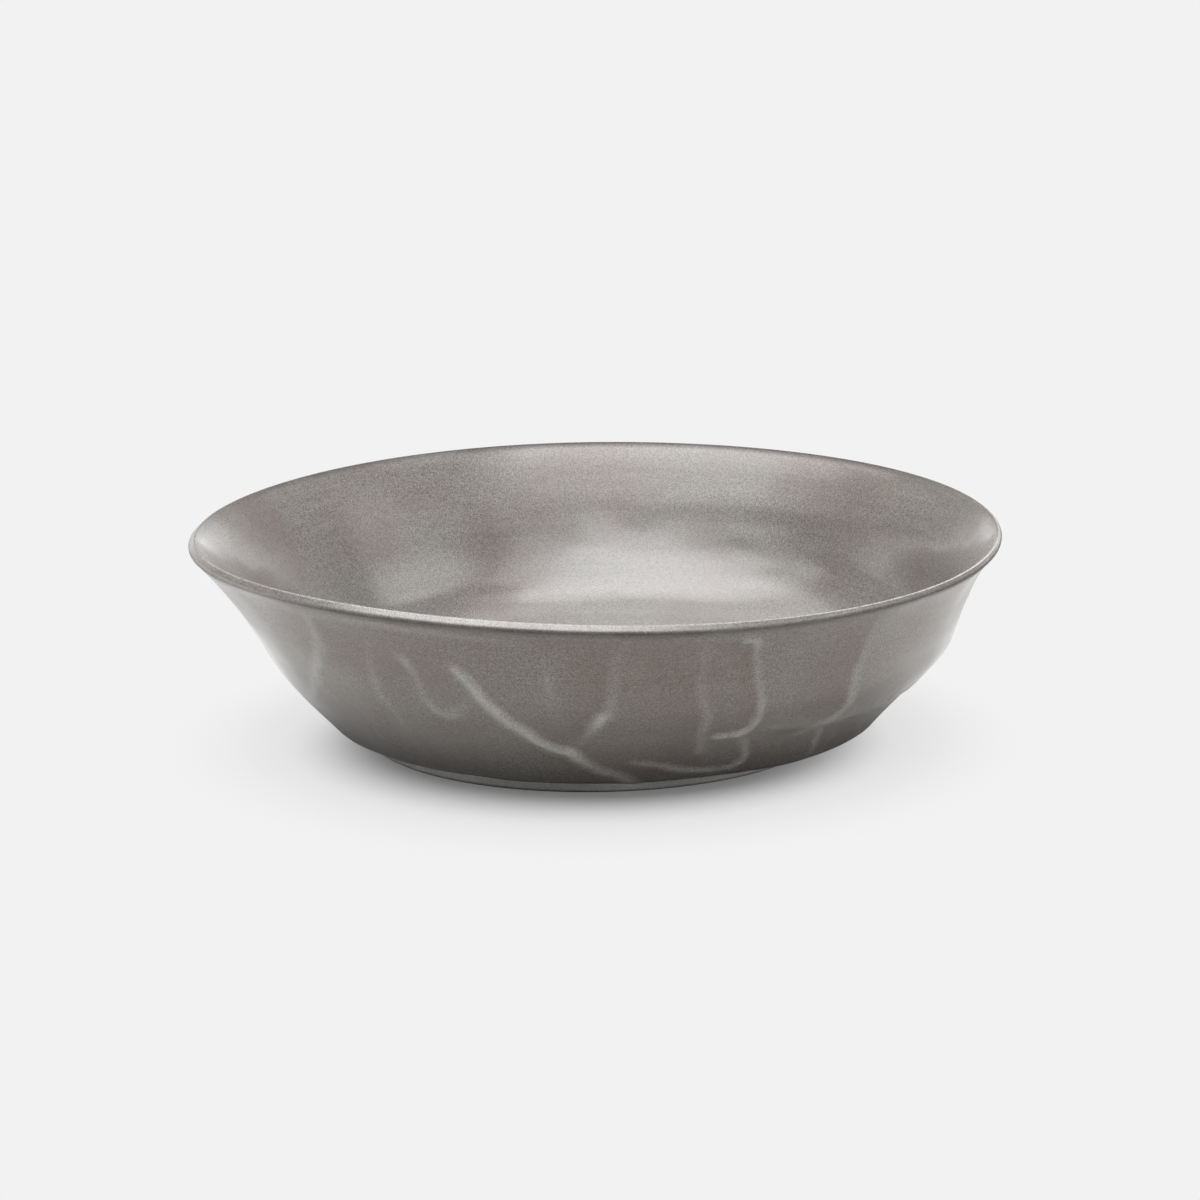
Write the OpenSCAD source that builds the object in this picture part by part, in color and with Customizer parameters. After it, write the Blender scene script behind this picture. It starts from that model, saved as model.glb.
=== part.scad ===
// Deep serving bowl in glazed stoneware. Over a low foot ring the wall rises as a plain
// cone to a soft shoulder, turns up there and flares again to a square-cut lip. Soft
// irregular ridges stand on the outside of the wall, where the glaze breaks paler.
// Millimetres, +Z up, with the origin on the table under the middle of the foot. The
// front is toward -Y.

/* [Rim] */
// Outer diameter of the rim
rim_d = 300; // [286:2:314]
// Height of the bowl from the table to the top of the lip
bowl_h = 78.5; // [72:0.5:84]
// Thickness of the wall at the lip
lip_t = 4; // [3.6:0.2:5.2]
// Slope of the flare where it ends in the lip, from level
lip_slope = 45; // [40:1:50]
// Radius of the lip's outer edge
lip_round = 1.4; // [0.8:0.2:1.6]
// Radius of the lip's inner edge
lip_inner_round = 0.6; // [0.4:0.1:1]

/* [Wall] */
// Outer diameter of the edge where the wall leaves the underside
base_d = 202; // [196:2:208]
// Height of that edge above the table
base_h = 8; // [7:0.5:9]
// Outer diameter of the shoulder, where the wall turns up
shoulder_d = 252; // [246:2:258]
// Height of the shoulder above the table
shoulder_h = 34; // [31:1:37]
// Slope of the wall just above the shoulder
shoulder_slope = 66; // [62:1:70]
// Thickness of the wall where the inside is steepest
wall_t = 6; // [5:0.5:7]
// Height above the table at which the inside is steepest
steep_h = 56; // [52:1:60]
// Slope of the inside there, from level
steep_slope = 63; // [60:1:66]
// Thickness of the floor over the recess
floor_t = 5.5; // [5:0.5:7]

/* [Foot] */
// Outer diameter of the foot ring
foot_d = 170; // [164:2:176]
// Height of the foot ring
foot_h = 5.5; // [5:0.5:6.5]
// Width of the foot ring
foot_w = 8; // [6:0.5:10]
// Radius of the foot ring's lower edges
foot_round = 1.4; // [0.8:0.2:2]
// Depth that the underside is turned out inside the foot ring
recess = 1; // [0.5:0.5:1.5]

/* [Ridges] */
// Width of the ridges, relative to the list
ridge_width = 1; // [0.8:0.1:1.2]
// Height of the ridges, relative to the list
ridge_height = 1; // [0.7:0.1:1.3]
// Depth that a ridge is bedded in the wall
ridge_bed = 0.15; // [0.1:0.05:0.3]

/* [Hidden] */

glaze_grey = [0.45, 0.44, 0.41];
ridge_grey = [0.56, 0.56, 0.54];
clay_grey = [0.63, 0.63, 0.62];

// Faces around a full turn, and steps along each curve of the profile
turn_fn = 180;
curve_steps = 16;
corner_steps = 6;

// Outer radii of the two bends in the wall
base_round = 6;
shoulder_round = 34;
// Handle lengths of the flare's curve
flare_handle = 9;
lip_handle = 15;
// Slope of the inside at the lip, and handle lengths of its two curves
inside_lip_slope = 42;
inside_lip_handle = 10;
steep_handle = 6;
basin_handle = 40;
floor_handle = 116;

// A profile point is [radius, height], and a slope is in degrees from level
function heading(slope) = [cos(slope), sin(slope)];
function inward(slope) = [-sin(slope), cos(slope)];
function slope_between(a, b) = atan2(b.y - a.y, b.x - a.x);

// Points of an arc from one angle to another
function arc(centre, radius, from, to) = [
    for (i = [0 : corner_steps])
        centre + radius * heading(from + (to - from) * i / corner_steps)
];

// Centre of the arc of a given radius that rounds a corner between two slopes
function corner_centre(corner, from_slope, to_slope, radius) =
    corner - radius * tan((to_slope - from_slope) / 2) * heading(from_slope) + radius * inward(from_slope);
function corner_arc(centre, radius, from_slope, to_slope) =
    arc(centre, radius, from_slope - 90, to_slope - 90);

// Cubic curve with four control points
function bezier(p, t) =
    pow(1 - t, 3) * p[0] + 3 * pow(1 - t, 2) * t * p[1]
    + 3 * (1 - t) * t * t * p[2] + pow(t, 3) * p[3];

foot_corner = [foot_d / 2, foot_h];
foot_inner_r = foot_d / 2 - foot_w;
base_corner = [base_d / 2, base_h];
shoulder_corner = [shoulder_d / 2, shoulder_h];
lip_point = [
    rim_d / 2 - lip_round + lip_round * sin(lip_slope),
    bowl_h - lip_inner_round - (lip_t - lip_inner_round) * cos(lip_slope)
    - (lip_round - lip_inner_round) * sin(lip_slope)
];

// Outside: underside, base edge, cone, shoulder and flare
under_slope = slope_between(foot_corner, base_corner);
cone_slope = slope_between(base_corner, shoulder_corner);
base_centre = corner_centre(base_corner, under_slope, cone_slope, base_round);
shoulder_centre = corner_centre(shoulder_corner, cone_slope, shoulder_slope, shoulder_round);
flare_start = shoulder_centre - shoulder_round * inward(shoulder_slope);
flare = [
    flare_start,
    flare_start + flare_handle * heading(shoulder_slope),
    lip_point - lip_handle * heading(lip_slope),
    lip_point
];
outer_line = concat(
    [foot_corner],
    corner_arc(base_centre, base_round, under_slope, cone_slope),
    corner_arc(shoulder_centre, shoulder_round, cone_slope, shoulder_slope),
    [for (i = [1 : curve_steps]) bezier(flare, i / curve_steps)]
);

// The lip is cut square to the wall. Its outer edge is worn round, its inner edge is crisper
lip_outer_centre = lip_point + lip_round * inward(lip_slope);
lip_inner_centre =
    lip_point + (lip_t - lip_inner_round) * inward(lip_slope) + (lip_round - lip_inner_round) * heading(lip_slope);
lip_edge = concat(
    arc(lip_outer_centre, lip_round, lip_slope - 90, lip_slope),
    arc(lip_inner_centre, lip_inner_round, lip_slope, lip_slope + 90)
);
// The first point is the end of the outside already
lip_line = [for (i = [1 : len(lip_edge) - 1]) lip_edge[i]];

// Radius of the outer wall at a height
wall_table = [for (p = outer_line) [p.y, p.x]];
function wall_radius(height) = lookup(height, wall_table);

// Inside: down from the lip to where it is steepest, then a wide basin that eases flat
lip_end = lip_edge[len(lip_edge) - 1];
steep_point = [wall_radius(steep_h) - wall_t / sin(steep_slope), steep_h];
floor_point = [0, foot_h + recess + floor_t];
inside_flare = [
    lip_end,
    lip_end - inside_lip_handle * heading(inside_lip_slope),
    steep_point + steep_handle * heading(steep_slope),
    steep_point
];
basin = [
    steep_point,
    steep_point - basin_handle * heading(steep_slope),
    floor_point + [floor_handle, 0],
    floor_point
];
inside_line = concat(
    [for (i = [1 : curve_steps]) bezier(inside_flare, i / curve_steps)],
    [for (i = [1 : curve_steps]) bezier(basin, i / curve_steps)]
);

underside_line = [
    [0, foot_h + recess],
    [foot_inner_r - recess, foot_h + recess],
    [foot_inner_r, foot_h]
];

module bowl_body() {
    color(glaze_grey)
    rotate_extrude($fn = turn_fn)
    polygon(concat(underside_line, outer_line, lip_line, inside_line));
}

module foot_ring() {
    color(clay_grey)
    rotate_extrude($fn = turn_fn)
    polygon(concat(
        [[foot_inner_r, foot_h]],
        arc([foot_inner_r + foot_round, foot_round], foot_round, 180, 270),
        arc([foot_d / 2 - foot_round, foot_round], foot_round, 270, 360),
        [foot_corner]
    ));
}

// A ridge runs along a path of [angle, percent] points: degrees round from the front,
// and percent of the way up from the foot to the lip. It swells from thin ends to its
// full width and height, and its section is a low rounded back.
ridge_steps = 4;
ridge_end = 0.25;
ridge_section = [[-1, 0], [-0.5, 0.72], [0, 1], [0.5, 0.72], [1, 0]];
path_step = 0.01;
slope_step = 0.5;

// Smooth curve through the points of a path, from 0 at its start to 1 at its end
function path_point(path, t) =
    let (
        spans = len(path) - 1,
        i = min(floor(t * spans), spans - 1),
        u = t * spans - i,
        a = path[max(i - 1, 0)],
        b = path[i],
        c = path[i + 1],
        d = path[min(i + 2, spans)]
    )
    0.5 * (2 * b + (c - a) * u + (2 * a - 5 * b + 4 * c - d) * u * u + (3 * b - a - 3 * c + d) * u * u * u);

// Slope of the outer wall at a height
function wall_slope(height) =
    atan2(2 * slope_step, wall_radius(height + slope_step) - wall_radius(height - slope_step));
function wall_height(percent) = foot_h + (lip_point.y - foot_h) * percent / 100;

// A point at an angle and height on the outer wall, lifted square off it
function on_wall(angle, height, lift) =
    let (p = [wall_radius(height), height] - lift * inward(wall_slope(height)))
    [p.x * sin(angle), -p.x * cos(angle), p.y];

function ridge_ring(path, t, half_width, rise) =
    let (
        here = path_point(path, t),
        before = path_point(path, max(t - path_step, 0)),
        after = path_point(path, min(t + path_step, 1)),
        height = wall_height(here.y),
        radius = wall_radius(height),
        lean = sin(wall_slope(height)),
        run = (after.x - before.x) * radius * PI / 180,
        climb = (wall_height(after.y) - wall_height(before.y)) / lean,
        side = [climb, -run] / norm([climb, -run]),
        swell = ridge_end + (1 - ridge_end) * sqrt(sin(180 * t))
    )
    [
        for (s = ridge_section)
            on_wall(
                here.x + s.x * half_width * swell * side.x / radius * 180 / PI,
                height + s.x * half_width * swell * side.y * lean,
                s.y * rise * swell - ridge_bed
            )
    ];

module ridge(path, width, rise) {
    sides = len(ridge_section);
    last = ridge_steps * (len(path) - 1);
    points = [
        for (i = [0 : last])
            each ridge_ring(path, i / last, ridge_width * width / 2, ridge_height * rise)
    ];
    walls = [
        for (i = [0 : last - 1], j = [0 : sides - 1])
            let (k = (j + 1) % sides, a = i * sides, b = a + sides)
            each [[a + j, a + k, b + k], [a + j, b + k, b + j]]
    ];
    end = last * sides;
    start_cap = [for (j = [1 : sides - 2]) [0, j + 1, j]];
    end_cap = [for (j = [1 : sides - 2]) [end, end + j, end + j + 1]];
    polyhedron(points, concat(walls, start_cap, end_cap));
}

module front_ridges() {
    ridge([[-43.5, 95], [-44, 88], [-45.5, 77], [-49, 65], [-53, 52], [-58, 38], [-66, 24]], 7, 1.2);
    ridge([[-35, 85], [-37.5, 67], [-38.5, 52], [-37, 42], [-36, 34]], 5, 0.8);
    ridge([[-30.5, 78], [-29.5, 70], [-30, 58], [-28.5, 49], [-26, 47], [-22.5, 53]], 5, 0.9);
    ridge([[-22, 76], [-20, 61], [-17.5, 47], [-12.5, 34], [-8.5, 27], [-4.5, 21], [-2, 14], [5, 5]], 6.5, 1.8);
    ridge([[3.5, 95], [2, 79], [1, 65], [0, 54], [-1.5, 47], [-3, 39], [-5, 33]], 5.5, 1.1);
    ridge([[-7.5, 84], [-8, 71], [-9, 57]], 4.5, 0.7);
    ridge([[15, 94], [14.5, 67], [15, 53], [15.5, 44], [16, 33], [17, 23]], 4.5, 0.8);
    ridge([[20.5, 93], [22.5, 91], [23, 74], [24, 60], [24.5, 46], [24.5, 37], [22, 33], [18.5, 33]], 4.5, 1.5);
    ridge([[24.5, 29], [26.5, 22], [27.5, 14], [24.5, 8], [20.5, 8], [13, 11.5], [5, 17]], 4.5, 1.1);
    ridge([[42.5, 82], [42.5, 72], [41.5, 61], [41.5, 53], [42, 40], [41.5, 34], [37, 29.5]], 5, 1.2);
    ridge([[41, 26], [43, 17.5], [45, 8]], 4.5, 0.8);
    ridge([[82, 29], [71.5, 25], [63.5, 24], [55, 26], [46, 31]], 6, 1.3);
}

module back_ridges() {
    ridge([[101, 93], [103, 75], [100, 60]], 6, 1);
    ridge([[113, 86], [111, 66], [104, 46], [98, 30], [101, 12]], 7, 1.5);
    ridge([[130, 95], [133, 74], [130, 54], [122, 40], [111, 34]], 6, 1.3);
    ridge([[147, 83], [146, 70], [146, 58]], 5, 0.8);
    ridge([[163, 92], [160, 70], [163, 48], [156, 30], [146, 20]], 7, 1.6);
    ridge([[178, 86], [181, 64], [176, 44], [168, 36]], 5, 1);
    ridge([[196, 95], [199, 72], [195, 52], [198, 34], [194, 16]], 6, 1.3);
    ridge([[216, 88], [213, 68], [219, 50], [230, 40]], 5, 1);
    ridge([[236, 94], [239, 76], [236, 56], [243, 34], [252, 22]], 7, 1.5);
    ridge([[256, 82], [258, 62], [262, 46]], 5, 0.8);
}

module raised_ridges() {
    color(ridge_grey) {
        front_ridges();
        back_ridges();
    }
}

bowl_body();
foot_ring();
raised_ridges();
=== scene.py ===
"""Deep serving bowl in grey glazed stoneware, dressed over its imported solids.

The body is one fired skin: a turned wall with soft ridges on the outside, a rim that dips and
rises, and a shoulder that is fuller on one side. A low ring of bare clay carries it.
Metres, +Z up, the front toward -Y.
"""

import logging
import math
from dataclasses import dataclass, field
from enum import Enum
from typing import Any, Iterable, Sequence, Union

import bpy
from bpy.types import Material, Modifier, Node, NodeSocket, NodeTree, Object
from mathutils import Matrix, Vector

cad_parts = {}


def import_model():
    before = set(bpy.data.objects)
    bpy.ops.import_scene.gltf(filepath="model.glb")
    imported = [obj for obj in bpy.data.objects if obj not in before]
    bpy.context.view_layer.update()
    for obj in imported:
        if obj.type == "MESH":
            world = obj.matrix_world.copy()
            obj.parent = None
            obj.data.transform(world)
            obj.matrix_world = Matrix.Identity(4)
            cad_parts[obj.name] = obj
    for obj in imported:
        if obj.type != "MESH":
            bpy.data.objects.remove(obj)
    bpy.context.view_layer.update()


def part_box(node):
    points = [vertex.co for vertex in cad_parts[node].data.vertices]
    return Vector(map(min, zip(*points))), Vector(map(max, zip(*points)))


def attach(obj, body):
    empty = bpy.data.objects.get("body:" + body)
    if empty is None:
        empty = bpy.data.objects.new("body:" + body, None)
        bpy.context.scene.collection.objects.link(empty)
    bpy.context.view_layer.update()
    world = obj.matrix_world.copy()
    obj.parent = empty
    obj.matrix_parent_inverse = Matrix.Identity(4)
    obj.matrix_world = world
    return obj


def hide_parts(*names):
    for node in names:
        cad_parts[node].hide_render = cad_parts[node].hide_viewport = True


LOG = logging.getLogger("serving_bowl")
MM = 0.001
BODY = "root"

Point = tuple[float, float]
Triple = tuple[float, float, float]
Colour = Triple
Value = Union[float, int, str, tuple, NodeSocket]


class Slot(Enum):
    """Material slots of the record."""

    GREY_GLAZE = "grey_glaze"
    BARE_CLAY = "bare_clay"


class Mark(Enum):
    """Attributes on the bowl's skin that say what a point belongs to."""

    OUTSIDE = "outside"
    INSIDE = "inside"
    LIP = "lip"
    RIDGE = "ridge"
    RUST = "rust"
    WIDTH = "width"
    RISE = "rise"
    LEFT = "left"
    RIGHT = "right"
    SIDE = "side"
    REACH = "reach"
    EDGE = "edge"
    BRIM = "brim"
    POOL = "pool"
    TRIM = "trim"


SECTION_MARKS = (Mark.OUTSIDE, Mark.INSIDE, Mark.LIP, Mark.EDGE, Mark.BRIM, Mark.POOL, Mark.TRIM)
RIDGE_MARKS = (Mark.WIDTH, Mark.RISE, Mark.RIDGE, Mark.LEFT, Mark.RIGHT, Mark.RUST, Mark.REACH)

# Noise stays within about a quarter of its middle level, so this much stretches it to -1 and 1
SWING_GAIN = 4.0

# Sockets of every tree that turns a section
TURNED_INPUTS = (
    ("Section", "NodeSocketObject"),
    ("Rings", "NodeSocketInt", 2),
    ("Segments", "NodeSocketInt", 64),
)


# Helpers for node trees


class NodeBoard:
    """Adds nodes to a tree and joins them, so that a formula reads as calls."""

    def __init__(self, tree: NodeTree) -> None:
        """Keeps the tree that the nodes go into."""
        self.tree = tree

    def feed(self, socket: NodeSocket, value: Value) -> None:
        """Links a socket to another socket, or sets its value.

        Args:
            socket: The input to fill.
            value: A plain value, or the output that feeds it.
        """
        if isinstance(value, NodeSocket):
            self.tree.links.new(value, socket)
        else:
            socket.default_value = value

    def node(self, kind: str, inputs: dict[Any, Value] | None = None, **settings: Any) -> Node:
        """Adds one node.

        Args:
            kind: Blender's name of the node's type.
            inputs: Values or outputs for its inputs, by name or index.
            settings: Properties to set before the inputs.

        Returns:
            The new node.
        """
        node = self.tree.nodes.new(kind)
        for name, setting in settings.items():
            setattr(node, name, setting)
        for name, value in (inputs or {}).items():
            self.feed(node.inputs[name], value)
        return node

    def math(self, operation: str, *values: Value) -> NodeSocket:
        """Returns the result of a Math node on the values."""
        return self.node("ShaderNodeMath", dict(enumerate(values)), operation=operation).outputs[0]

    def add(self, *values: Value) -> NodeSocket:
        """Returns the sum of two or more values."""
        total = values[0]
        for value in values[1:]:
            total = self.math("ADD", total, value)
        return total

    def times(self, *values: Value) -> NodeSocket:
        """Returns the product of two or more values."""
        product = values[0]
        for value in values[1:]:
            product = self.math("MULTIPLY", product, value)
        return product

    def mix(self, first: Value, second: Value, share: float) -> NodeSocket:
        """Returns two values added up, the second with this share of the whole."""
        return self.add(self.times(first, 1.0 - share), self.times(second, share))

    def rest(self, value: Value) -> NodeSocket:
        """Returns what is left of 1 when a value is taken off."""
        return self.math("SUBTRACT", 1.0, value)

    def vector(self, operation: str, *values: Value) -> NodeSocket:
        """Returns the vector result of a Vector Math node on the values."""
        return self.node("ShaderNodeVectorMath", dict(enumerate(values)), operation=operation).outputs[0]

    def measure(self, operation: str, *values: Value) -> NodeSocket:
        """Returns the number that a Vector Math node finds for the values."""
        return self.node("ShaderNodeVectorMath", dict(enumerate(values)), operation=operation).outputs[1]

    def flat(self, vector: Value) -> NodeSocket:
        """Returns a vector with its height taken out."""
        return self.vector("MULTIPLY", vector, (1.0, 1.0, 0.0))

    def scaled(self, vector: Value, factor: Value) -> NodeSocket:
        """Returns a vector times a number."""
        return self.node("ShaderNodeVectorMath", {0: vector, "Scale": factor}, operation="SCALE").outputs[0]

    def split(self, vector: Value) -> list[NodeSocket]:
        """Returns the three components of a vector."""
        return list(self.node("ShaderNodeSeparateXYZ", {0: vector}).outputs)

    def join(self, x: Value, y: Value, z: Value) -> NodeSocket:
        """Returns a vector with these components."""
        return self.node("ShaderNodeCombineXYZ", {0: x, 1: y, 2: z}).outputs[0]

    def ramp(
        self, value: Value, start: Value, end: Value, low: Value = 0.0, high: Value = 1.0
    ) -> NodeSocket:
        """Eases from one level to another.

        Args:
            value: What is measured.
            start: The value at which the result leaves low.
            end: The value at which the result reaches high.
            low: The result before start.
            high: The result after end.

        Returns:
            The eased level.
        """
        inputs = {0: value, 1: start, 2: end, 3: low, 4: high}
        return self.node("ShaderNodeMapRange", inputs, interpolation_type="SMOOTHSTEP").outputs[0]

    def noise(self, place: Value, scale: Value, detail: float = 2.0, roughness: float = 0.5) -> Node:
        """Returns a noise texture node, whose outputs are a value and a colour."""
        inputs = {"Vector": place, "Scale": scale, "Detail": detail, "Roughness": roughness}
        return self.node("ShaderNodeTexNoise", inputs)

    def swing(self, place: Value, scale: Value, detail: float = 2.0) -> NodeSocket:
        """Returns noise that swings about zero, between about -1 and 1."""
        level = self.noise(place, scale, detail).outputs[0]
        return self.math("MULTIPLY_ADD", level, SWING_GAIN, -0.5 * SWING_GAIN)

    def blend(self, factor: Value, first: Value, second: Value) -> NodeSocket:
        """Returns a colour between two colours."""
        inputs = {0: factor, 6: first, 7: second}
        return self.node("ShaderNodeMix", inputs, data_type="RGBA").outputs[2]

    def sample(self, source: Value, value: Value, index: Value, kind: str = "FLOAT") -> NodeSocket:
        """Returns a value read from the points of another geometry."""
        inputs = {"Geometry": source, "Value": value, "Index": index}
        return self.node("GeometryNodeSampleIndex", inputs, data_type=kind, domain="POINT").outputs[0]

    def mark(self, name: Mark, kind: str = "FLOAT") -> NodeSocket:
        """Returns a named attribute of the geometry at hand."""
        return self.node("GeometryNodeInputNamedAttribute", {"Name": name.value}, data_type=kind).outputs[0]

    def store(self, geometry: Value, name: Mark, value: Value) -> NodeSocket:
        """Returns the geometry with a value kept on its points under a name."""
        inputs = {"Geometry": geometry, "Name": name.value, "Value": value}
        kept = self.node("GeometryNodeStoreNamedAttribute", inputs, data_type="FLOAT", domain="POINT")
        return kept.outputs[0]

    def painted(self, *names: Mark) -> list[NodeSocket]:
        """Returns marks of the skin, as a material reads them."""
        return [self.node("ShaderNodeAttribute", attribute_name=name.value).outputs["Fac"] for name in names]

    def place(self) -> NodeSocket:
        """Returns the position of the point at hand in a geometry tree."""
        return self.node("GeometryNodeInputPosition").outputs[0]

    def shape(self, kind: str, geometry: Value, **inputs: Value) -> NodeSocket:
        """Puts a geometry through one more node.

        Args:
            kind: What follows GeometryNode in Blender's name of the node's type.
            geometry: The geometry that goes in.
            inputs: The node's other inputs by name.

        Returns:
            The geometry that comes out.
        """
        return self.node(f"GeometryNode{kind}", {"Geometry": geometry, **inputs}).outputs[0]


def rgba(colour: Colour) -> tuple[float, float, float, float]:
    """Returns a colour with full alpha, as Blender's sockets take it."""
    return (*colour, 1.0)


def open_tree(
    name: str,
    inputs: Sequence[tuple],
    outputs: Sequence[tuple] = (("Geometry", "NodeSocketGeometry"),),
    kind: str = "GeometryNodeTree",
) -> tuple[NodeBoard, dict[str, NodeSocket]]:
    """Makes a node group with named sockets.

    Args:
        name: Name of the group.
        inputs: Name, socket type and, where it has one, default value of each input.
        outputs: Name and socket type of each output.
        kind: GeometryNodeTree or ShaderNodeTree.

    Returns:
        The board for the group's nodes, and its input sockets by name.
    """
    tree = bpy.data.node_groups.new(name, kind)
    for title, socket_type, *default in inputs:
        socket = tree.interface.new_socket(title, in_out="INPUT", socket_type=socket_type)
        if default:
            socket.default_value = default[0]
    for title, socket_type in outputs:
        tree.interface.new_socket(title, in_out="OUTPUT", socket_type=socket_type)
    board = NodeBoard(tree)
    entry = board.node("NodeGroupInput")
    return board, {socket.name: socket for socket in entry.outputs if socket.name}


def close_tree(board: NodeBoard, results: dict[str, Value]) -> NodeTree:
    """Links the results to the group's outputs and returns the finished tree."""
    board.node("NodeGroupOutput", results)
    return board.tree


def size_sockets(sizes: dict[str, Value]) -> list[tuple]:
    """Returns the name, socket type and default value of an input for each size."""
    return [
        (name, "NodeSocketVector" if isinstance(size, tuple) else "NodeSocketFloat", size)
        for name, size in sizes.items()
    ]


def turned_skin(board: NodeBoard, given: dict[str, NodeSocket], turning: NodeTree) -> NodeSocket:
    """Returns the skin that the turning group makes of a tree's own section."""
    inputs = {name: given[name] for name, *_ in TURNED_INPUTS}
    return board.node("GeometryNodeGroup", inputs, node_tree=turning).outputs[0]


def close_skin(board: NodeBoard, skin: Value, finish: Value) -> NodeTree:
    """Smooths a skin, gives it its finish and returns the finished tree."""
    skin = board.shape("SetShadeSmooth", skin)
    skin = board.shape("RealizeInstances", skin)
    return close_tree(board, {"Geometry": board.shape("SetMaterial", skin, Material=finish)})


def open_material(name: str) -> tuple[Material, NodeBoard, Node, NodeSocket]:
    """Makes a material with a Principled shader.

    Args:
        name: Name of the material.

    Returns:
        The material, the board for its nodes, its shader and the point on the piece.
    """
    material = bpy.data.materials.new(name)
    material.use_nodes = True
    board = NodeBoard(material.node_tree)
    place = board.node("ShaderNodeTexCoord").outputs["Object"]
    return material, board, material.node_tree.nodes["Principled BSDF"], place


def add_object(name: str, data: bpy.types.ID) -> Object:
    """Adds an object with this data to the scene and returns it."""
    added = bpy.data.objects.new(name, data)
    bpy.context.scene.collection.objects.link(added)
    return added


# Curves of the half section


def heading(slope: float) -> Vector:
    """Returns the direction that climbs at a slope, in degrees from level."""
    return Vector((math.cos(math.radians(slope)), math.sin(math.radians(slope))))


def inward(slope: float) -> Vector:
    """Returns the direction square to a slope, toward the inside of the bowl."""
    return Vector((-math.sin(math.radians(slope)), math.cos(math.radians(slope))))


def slope_between(first: Vector, second: Vector) -> float:
    """Returns the slope of the line between two points, in degrees from level."""
    return math.degrees(math.atan2(second.y - first.y, second.x - first.x))


def arc(centre: Vector, radius: float, start: float, end: float, steps: int = 16) -> list[Vector]:
    """Returns points of an arc from one angle to another, in degrees."""
    return [centre + radius * heading(start + (end - start) * i / steps) for i in range(steps + 1)]


def corner_centre(corner: Vector, before: float, after: float, radius: float) -> Vector:
    """Returns the centre of the arc that rounds a corner between two slopes."""
    setback = radius * math.tan(math.radians(after - before) / 2)
    return corner - setback * heading(before) + radius * inward(before)


def bezier(points: Sequence[Vector], t: float) -> Vector:
    """Returns a point of a cubic curve."""
    a, b, c, d = points
    s = 1 - t
    return s ** 3 * a + 3 * s * s * t * b + 3 * s * t * t * c + t ** 3 * d


def evenly(points: Sequence[Vector], spacing: float) -> list[Vector]:
    """Spaces points evenly along a line.

    Args:
        points: The line's own points.
        spacing: The distance that is aimed at.

    Returns:
        New points, with the first and last of the line among them.
    """
    lengths = [0.0]
    for first, second in zip(points, points[1:]):
        lengths.append(lengths[-1] + (second - first).length)
    count = max(1, round(lengths[-1] / spacing))
    result = []
    span = 0
    for i in range(count + 1):
        target = lengths[-1] * i / count
        while span < len(points) - 2 and lengths[span + 1] < target:
            span += 1
        stretch = lengths[span + 1] - lengths[span]
        result.append(points[span].lerp(points[span + 1], (target - lengths[span]) / stretch))
    return result


def nearness(gap: float, reach: float) -> float:
    """Returns 1 where there is no gap, falling to 0 at the reach."""
    return max(0.0, 1.0 - gap / reach)


@dataclass(frozen=True)
class Ring:
    """One ring of a turned skin: where it is, and what it belongs to."""

    radius: float
    height: float
    outside: float = 0.0
    inside: float = 0.0
    lip: float = 0.0
    edge: float = 0.0
    brim: float = 0.0
    pool: float = 0.0
    trim: float = 0.0


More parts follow.
